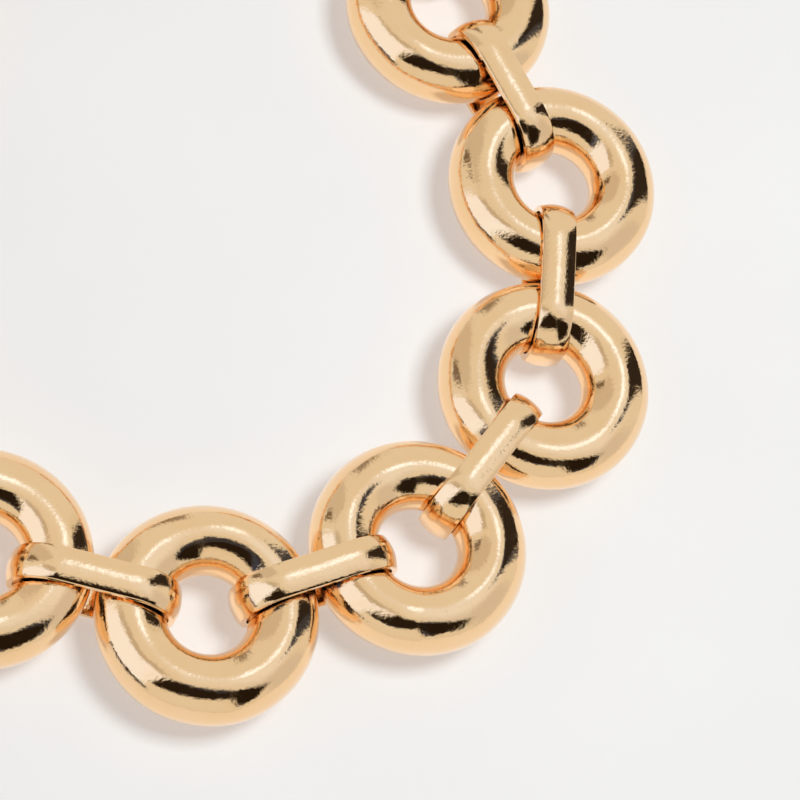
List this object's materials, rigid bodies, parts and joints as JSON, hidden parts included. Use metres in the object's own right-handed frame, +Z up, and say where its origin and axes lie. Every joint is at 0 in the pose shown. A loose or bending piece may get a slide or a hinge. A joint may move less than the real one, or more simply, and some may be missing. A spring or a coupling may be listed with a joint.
{
  "type": "chain necklace",
  "caption": "Chunky necklace of hollow round rings joined by flat strip connectors, with a lobster clasp and an extender chain, lying unfastened.",
  "frame": {"origin": "the middle of the front ring, on the rings' mid plane", "axes": "+Z up from the surface it lies on, +Y from the front ring to the back of the neck, +X to the extender side"},
  "size_m": [0.1427, 0.1987, 0.0126],
  "materials": {
    "ring_gold": "mirror-polished pale gold plating on hollow brass",
    "connector_gold": "mirror-polished pale gold plating on bent brass strip",
    "chain_gold": "polished pale gold plating on brass wire",
    "clasp_gold": "polished pale gold plating on cast brass",
    "spring_steel": "plain spring wire"
  },
  "bodies": {
    "ring_front": {"ring_front": "ring_gold"},
    "connector_right_1": {"connector_right_1": "connector_gold"},
    "ring_right_1": {"ring_right_1": "ring_gold"},
    "connector_right_2": {"connector_right_2": "connector_gold"},
    "ring_right_2": {"ring_right_2": "ring_gold"},
    "connector_right_3": {"connector_right_3": "connector_gold"},
    "ring_right_3": {"ring_right_3": "ring_gold"},
    "connector_right_4": {"connector_right_4": "connector_gold"},
    "ring_right_4": {"ring_right_4": "ring_gold"},
    "connector_right_5": {"connector_right_5": "connector_gold"},
    "ring_right_5": {"ring_right_5": "ring_gold"},
    "connector_right_6": {"connector_right_6": "connector_gold"},
    "jump_ring_right": {"jump_ring_right": "chain_gold"},
    "extender_link_01": {"extender_link_01": "chain_gold"},
    "extender_link_02": {"extender_link_02": "chain_gold"},
    "extender_link_03": {"extender_link_03": "chain_gold"},
    "extender_link_04": {"extender_link_04": "chain_gold"},
    "extender_link_05": {"extender_link_05": "chain_gold"},
    "extender_link_06": {"extender_link_06": "chain_gold"},
    "extender_link_07": {"extender_link_07": "chain_gold"},
    "extender_link_08": {"extender_link_08": "chain_gold"},
    "extender_link_09": {"extender_link_09": "chain_gold"},
    "extender_link_10": {"extender_link_10": "chain_gold"},
    "drop_ring": {"drop_ring": "chain_gold"},
    "end_drop": {"end_drop": "chain_gold"},
    "connector_left_1": {"connector_left_1": "connector_gold"},
    "ring_left_1": {"ring_left_1": "ring_gold"},
    "connector_left_2": {"connector_left_2": "connector_gold"},
    "ring_left_2": {"ring_left_2": "ring_gold"},
    "connector_left_3": {"connector_left_3": "connector_gold"},
    "ring_left_3": {"ring_left_3": "ring_gold"},
    "connector_left_4": {"connector_left_4": "connector_gold"},
    "ring_left_4": {"ring_left_4": "ring_gold"},
    "connector_left_5": {"connector_left_5": "connector_gold"},
    "ring_left_5": {"ring_left_5": "ring_gold"},
    "connector_left_6": {"connector_left_6": "connector_gold"},
    "jump_ring_left": {"jump_ring_left": "chain_gold"},
    "back_link_1": {"back_link_1": "chain_gold"},
    "back_link_2": {"back_link_2": "chain_gold"},
    "back_link_3": {"back_link_3": "chain_gold"},
    "back_link_4": {"back_link_4": "chain_gold"},
    "clasp_ring": {"clasp_ring": "chain_gold"},
    "clasp": {"clasp_body": "clasp_gold", "clasp_pin": "clasp_gold", "clasp_spring": "spring_steel"},
    "clasp_lever": {"clasp_lever": "clasp_gold"}
  },
  "joints": [
    {"name": "connector_right_1_turn", "type": "hinge", "parent": "ring_front", "child": "connector_right_1", "pos_m": [0, 0, 0], "axis": [0, 0, 1], "range_deg": [-60, 20]},
    {"name": "ring_right_1_fold", "type": "hinge", "parent": "connector_right_1", "child": "ring_right_1", "pos_m": [0.01824, 0.00532, 0], "axis": [-0.2798, 0.96, 0], "range_deg": [-60, 60]},
    {"name": "connector_right_2_turn", "type": "hinge", "parent": "ring_right_1", "child": "connector_right_2", "pos_m": [0.02746, 0.008, 0], "axis": [0, 0, -1], "range_deg": [-24, 60]},
    {"name": "ring_right_2_fold", "type": "hinge", "parent": "connector_right_2", "child": "ring_right_2", "pos_m": [0.03998, 0.02229, 0], "axis": [0.7518, -0.6593, 0], "range_deg": [-60, 60]},
    {"name": "connector_right_3_turn", "type": "hinge", "parent": "ring_right_2", "child": "connector_right_3", "pos_m": [0.04631, 0.02951, 0], "axis": [0, 0, 1], "range_deg": [-60, 34]},
    {"name": "ring_right_3_fold", "type": "hinge", "parent": "connector_right_3", "child": "ring_right_3", "pos_m": [0.04921, 0.04828, 0], "axis": [-0.9884, 0.1521, 0], "range_deg": [-60, 60]},
    {"name": "connector_right_4_turn", "type": "hinge", "parent": "ring_right_3", "child": "connector_right_4", "pos_m": [0.05067, 0.05777, 0], "axis": [0, 0, -1], "range_deg": [-45, 60]},
    {"name": "ring_right_4_fold", "type": "hinge", "parent": "connector_right_4", "child": "ring_right_4", "pos_m": [0.04301, 0.07516, 0], "axis": [0.9153, 0.4027, 0], "range_deg": [-60, 60]},
    {"name": "connector_right_5_turn", "type": "hinge", "parent": "ring_right_4", "child": "connector_right_5", "pos_m": [0.03915, 0.08395, 0], "axis": [0, 0, 1], "range_deg": [-60, 60]},
    {"name": "ring_right_5_fold", "type": "hinge", "parent": "connector_right_5", "child": "ring_right_5", "pos_m": [0.03782, 0.1029, 0], "axis": [-0.9976, -0.0698, 0], "range_deg": [-60, 60]},
    {"name": "connector_right_6_turn", "type": "hinge", "parent": "ring_right_5", "child": "connector_right_6", "pos_m": [0.03715, 0.11248, 0], "axis": [0, 0, -1], "range_deg": [-60, 60]},
    {"name": "jump_ring_right_swing", "type": "hinge", "parent": "connector_right_6", "child": "jump_ring_right", "pos_m": [0.04175, 0.13092, 0], "axis": [-0.9703, 0.2419, 0], "range_deg": [-75, 45]},
    {"name": "extender_link_01_turn", "type": "hinge", "parent": "jump_ring_right", "child": "extender_link_01", "pos_m": [0.04344, 0.13769, -0.00238], "axis": [0.078, 0.3128, 0.9466], "range_deg": [-60, 60]},
    {"name": "extender_link_02_fold", "type": "hinge", "parent": "extender_link_01", "child": "extender_link_02", "pos_m": [0.04497, 0.14384, -0.00367], "axis": [-0.9703, 0.2419, 0], "range_deg": [-60, 60]},
    {"name": "extender_link_03_turn", "type": "hinge", "parent": "extender_link_02", "child": "extender_link_03", "pos_m": [0.0461, 0.14835, -0.00367], "axis": [0, 0, 1], "range_deg": [-60, 60]},
    {"name": "extender_link_04_fold", "type": "hinge", "parent": "extender_link_03", "child": "extender_link_04", "pos_m": [0.04791, 0.15263, -0.00367], "axis": [0.9205, -0.3907, 0], "range_deg": [-60, 60]},
    {"name": "extender_link_05_turn", "type": "hinge", "parent": "extender_link_04", "child": "extender_link_05", "pos_m": [0.04973, 0.15691, -0.00367], "axis": [0, 0, -1], "range_deg": [-60, 60]},
    {"name": "extender_link_06_fold", "type": "hinge", "parent": "extender_link_05", "child": "extender_link_06", "pos_m": [0.05219, 0.16086, -0.00367], "axis": [-0.848, 0.5299, 0], "range_deg": [-60, 60]},
    {"name": "extender_link_07_turn", "type": "hinge", "parent": "extender_link_06", "child": "extender_link_07", "pos_m": [0.05466, 0.1648, -0.00367], "axis": [0, 0, 1], "range_deg": [-60, 60]},
    {"name": "extender_link_08_fold", "type": "hinge", "parent": "extender_link_07", "child": "extender_link_08", "pos_m": [0.05771, 0.16831, -0.00367], "axis": [0.7547, -0.6561, 0], "range_deg": [-60, 60]},
    {"name": "extender_link_09_turn", "type": "hinge", "parent": "extender_link_08", "child": "extender_link_09", "pos_m": [0.06076, 0.17182, -0.00367], "axis": [0, 0, -1], "range_deg": [-60, 60]},
    {"name": "extender_link_10_fold", "type": "hinge", "parent": "extender_link_09", "child": "extender_link_10", "pos_m": [0.06432, 0.17481, -0.00367], "axis": [-0.6428, 0.766, 0], "range_deg": [-60, 60]},
    {"name": "drop_ring_turn", "type": "hinge", "parent": "extender_link_10", "child": "drop_ring", "pos_m": [0.06788, 0.1778, -0.00367], "axis": [0, 0, 1], "range_deg": [-60, 60]},
    {"name": "end_drop_fold", "type": "hinge", "parent": "drop_ring", "child": "end_drop", "pos_m": [0.07033, 0.17927, -0.00367], "axis": [-0.515, 0.8572, 0], "range_deg": [-60, 60]},
    {"name": "connector_left_1_turn", "type": "hinge", "parent": "ring_front", "child": "connector_left_1", "pos_m": [0, 0, 0], "axis": [0, 0, 1], "range_deg": [-20, 60]},
    {"name": "ring_left_1_fold", "type": "hinge", "parent": "connector_left_1", "child": "ring_left_1", "pos_m": [-0.01824, 0.00532, 0], "axis": [-0.2798, -0.96, 0], "range_deg": [-60, 60]},
    {"name": "connector_left_2_turn", "type": "hinge", "parent": "ring_left_1", "child": "connector_left_2", "pos_m": [-0.02746, 0.008, 0], "axis": [0, 0, -1], "range_deg": [-60, 24]},
    {"name": "ring_left_2_fold", "type": "hinge", "parent": "connector_left_2", "child": "ring_left_2", "pos_m": [-0.03998, 0.02229, 0], "axis": [0.7518, 0.6593, 0], "range_deg": [-60, 60]},
    {"name": "connector_left_3_turn", "type": "hinge", "parent": "ring_left_2", "child": "connector_left_3", "pos_m": [-0.04631, 0.02951, 0], "axis": [0, 0, 1], "range_deg": [-34, 60]},
    {"name": "ring_left_3_fold", "type": "hinge", "parent": "connector_left_3", "child": "ring_left_3", "pos_m": [-0.04921, 0.04828, 0], "axis": [-0.9884, -0.1521, 0], "range_deg": [-60, 60]},
    {"name": "connector_left_4_turn", "type": "hinge", "parent": "ring_left_3", "child": "connector_left_4", "pos_m": [-0.05067, 0.05777, 0], "axis": [0, 0, -1], "range_deg": [-60, 45]},
    {"name": "ring_left_4_fold", "type": "hinge", "parent": "connector_left_4", "child": "ring_left_4", "pos_m": [-0.04301, 0.07516, 0], "axis": [0.9153, -0.4027, 0], "range_deg": [-60, 60]},
    {"name": "connector_left_5_turn", "type": "hinge", "parent": "ring_left_4", "child": "connector_left_5", "pos_m": [-0.03915, 0.08395, 0], "axis": [0, 0, 1], "range_deg": [-60, 60]},
    {"name": "ring_left_5_fold", "type": "hinge", "parent": "connector_left_5", "child": "ring_left_5", "pos_m": [-0.03782, 0.1029, 0], "axis": [-0.9976, 0.0698, 0], "range_deg": [-60, 60]},
    {"name": "connector_left_6_turn", "type": "hinge", "parent": "ring_left_5", "child": "connector_left_6", "pos_m": [-0.03715, 0.11248, 0], "axis": [0, 0, -1], "range_deg": [-60, 60]},
    {"name": "jump_ring_left_swing", "type": "hinge", "parent": "connector_left_6", "child": "jump_ring_left", "pos_m": [-0.04175, 0.13092, 0], "axis": [-0.9703, -0.2419, 0], "range_deg": [-75, 45]},
    {"name": "back_link_1_turn", "type": "hinge", "parent": "jump_ring_left", "child": "back_link_1", "pos_m": [-0.04344, 0.13769, -0.00238], "axis": [-0.078, 0.3128, 0.9466], "range_deg": [-60, 60]},
    {"name": "back_link_2_fold", "type": "hinge", "parent": "back_link_1", "child": "back_link_2", "pos_m": [-0.04497, 0.14384, -0.00367], "axis": [-0.9703, -0.2419, 0], "range_deg": [-60, 60]},
    {"name": "back_link_3_turn", "type": "hinge", "parent": "back_link_2", "child": "back_link_3", "pos_m": [-0.0461, 0.14835, -0.00367], "axis": [0, 0, 1], "range_deg": [-60, 60]},
    {"name": "back_link_4_fold", "type": "hinge", "parent": "back_link_3", "child": "back_link_4", "pos_m": [-0.04791, 0.15263, -0.00367], "axis": [0.9205, 0.3907, 0], "range_deg": [-60, 60]},
    {"name": "clasp_ring_turn", "type": "hinge", "parent": "back_link_4", "child": "clasp_ring", "pos_m": [-0.04973, 0.15691, -0.00367], "axis": [0, 0, 1], "range_deg": [-60, 60]},
    {"name": "clasp_fold", "type": "hinge", "parent": "clasp_ring", "child": "clasp", "pos_m": [-0.05124, 0.15933, -0.00367], "axis": [0.848, 0.5299, 0], "range_deg": [-60, 60]},
    {"name": "clasp_lever_press", "type": "hinge", "parent": "clasp", "child": "clasp_lever", "pos_m": [-0.05618, 0.16498, -0.00367], "axis": [0, 0, -1], "range_deg": [0, 22], "stiffness_Nm_per_rad": 0.0002, "springref_deg": -8.59}
  ]
}
